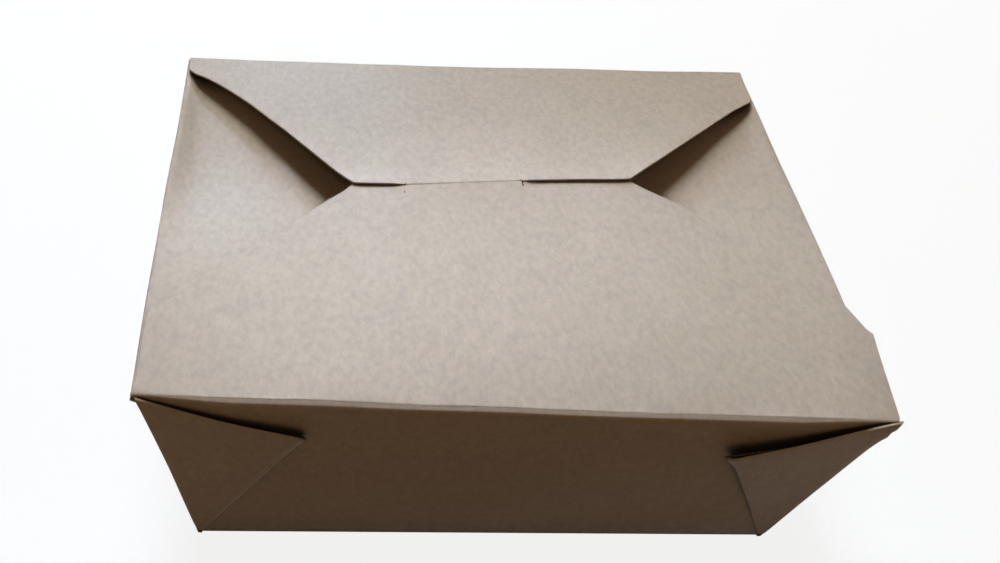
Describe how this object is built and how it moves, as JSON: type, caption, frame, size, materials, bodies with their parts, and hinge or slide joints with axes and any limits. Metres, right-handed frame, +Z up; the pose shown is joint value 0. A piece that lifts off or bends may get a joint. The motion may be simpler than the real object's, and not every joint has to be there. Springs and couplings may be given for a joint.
{
  "type": "takeaway box",
  "caption": "Folded kraft board takeaway carton with tapered walls, corner webs folded outside, and a top flap whose tongue locks in a slit.",
  "frame": {"origin": "middle of the underside, on the table", "axes": "+Z up; -Y is the front, where the front flap folds; +X is to the right seen from the front, along the longer top folds"},
  "size_m": [0.1714, 0.1432, 0.0682],
  "materials": {
    "kraft_board": "uncoated, matte"
  },
  "bodies": {
    "carton": {"carton": "kraft_board"},
    "back_flap": {"back_flap": "kraft_board"}
  },
  "joints": [
    {"name": "back_flap_crease", "type": "hinge", "parent": "carton", "child": "back_flap", "pos_m": [0, 0.07, 0.064], "axis": [-1, 0, 0], "range_deg": [0, 180]}
  ]
}
